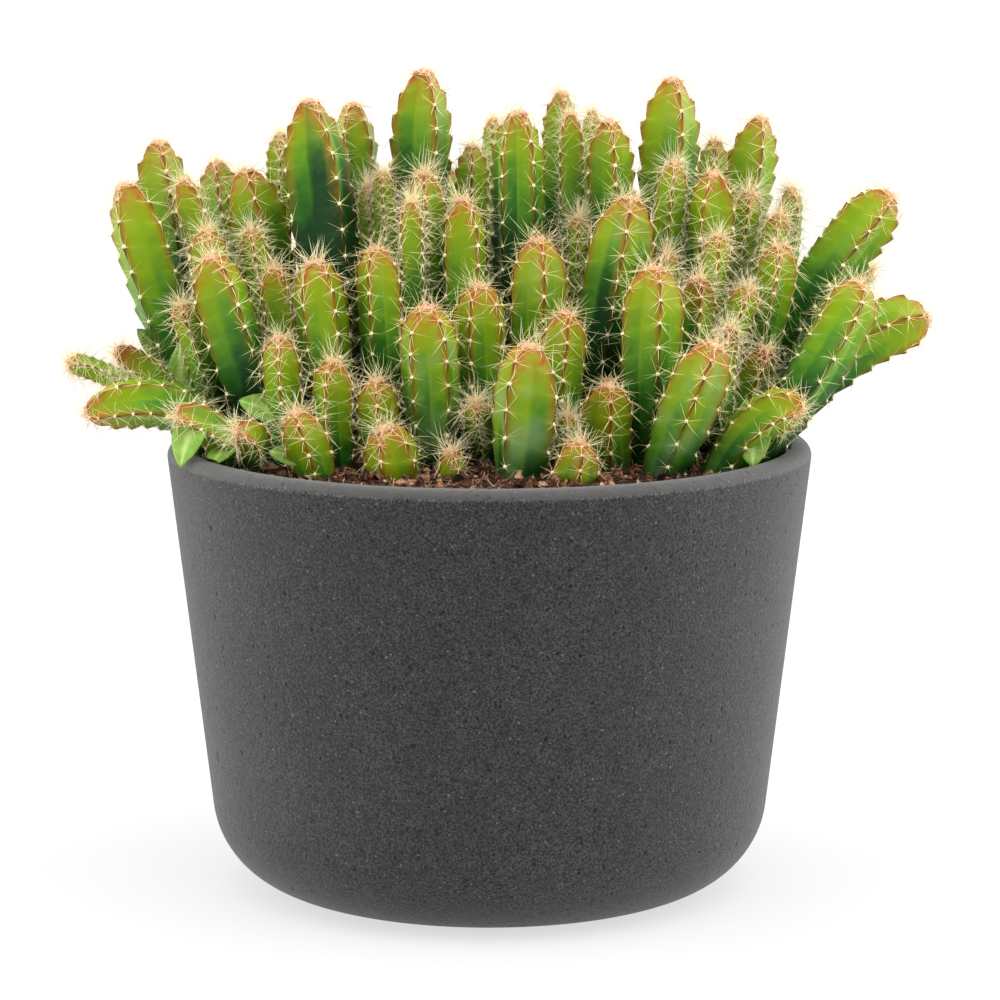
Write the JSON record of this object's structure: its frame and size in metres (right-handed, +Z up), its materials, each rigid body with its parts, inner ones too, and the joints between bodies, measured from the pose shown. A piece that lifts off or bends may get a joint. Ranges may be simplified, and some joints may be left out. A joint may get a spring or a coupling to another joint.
{
  "type": "potted dragon fruit cactus",
  "caption": "Clump of ribbed, spiny young cactus stems crowded in a round flared cement pot filled with soil.",
  "frame": {"origin": "middle of the flat underside of the pot", "axes": "+Z up along the pot's axis, -Y towards the plant's best side, +X to that side's right"},
  "size_m": [0.2592, 0.1919, 0.2399],
  "materials": {
    "pot_cement": "matte cast fibre-cement with small pits",
    "coco_peat": "loose crumbs of coco peat",
    "stem_skin": "waxy green cactus skin, bronze near the tips"
  },
  "bodies": {
    "root": {"pot": "pot_cement", "soil": "coco_peat", "stem_far_01": "stem_skin", "stem_far_02": "stem_skin", "stem_far_03": "stem_skin", "stem_far_04": "stem_skin", "stem_far_05": "stem_skin", "stem_far_06": "stem_skin", "stem_far_07": "stem_skin", "stem_far_08": "stem_skin", "stem_far_09": "stem_skin", "stem_far_10": "stem_skin", "stem_front_01": "stem_skin", "stem_front_02": "stem_skin", "stem_front_03": "stem_skin", "stem_front_04": "stem_skin", "stem_front_05": "stem_skin", "stem_front_06": "stem_skin", "stem_front_07": "stem_skin", "stem_front_08": "stem_skin", "stem_front_10": "stem_skin", "stem_middle_01": "stem_skin", "stem_middle_02": "stem_skin", "stem_middle_03": "stem_skin", "stem_middle_04": "stem_skin", "stem_middle_05": "stem_skin", "stem_middle_06": "stem_skin", "stem_middle_07": "stem_skin", "stem_middle_08": "stem_skin", "stem_middle_10": "stem_skin", "stem_middle_13": "stem_skin", "stem_middle_14": "stem_skin", "stem_middle_15": "stem_skin", "stem_middle_16": "stem_skin", "stem_rear_01": "stem_skin", "stem_rear_03": "stem_skin", "stem_rear_05": "stem_skin", "stem_rear_08": "stem_skin", "stem_rear_10": "stem_skin", "stem_rear_11": "stem_skin", "stem_second_01": "stem_skin", "stem_second_02": "stem_skin", "stem_second_03": "stem_skin", "stem_second_04": "stem_skin", "stem_second_05": "stem_skin", "stem_second_07": "stem_skin", "stem_second_09": "stem_skin", "stem_second_10": "stem_skin", "stem_second_12": "stem_skin", "stem_tall_01": "stem_skin", "stem_tall_03": "stem_skin", "stem_tall_05": "stem_skin", "stem_tall_06": "stem_skin", "stem_tall_07": "stem_skin", "stem_tall_09": "stem_skin", "stem_tall_10": "stem_skin", "stem_tall_11": "stem_skin", "stem_tall_13": "stem_skin", "stem_tall_16": "stem_skin", "stem_tall_20": "stem_skin"}
  },
  "joints": []
}
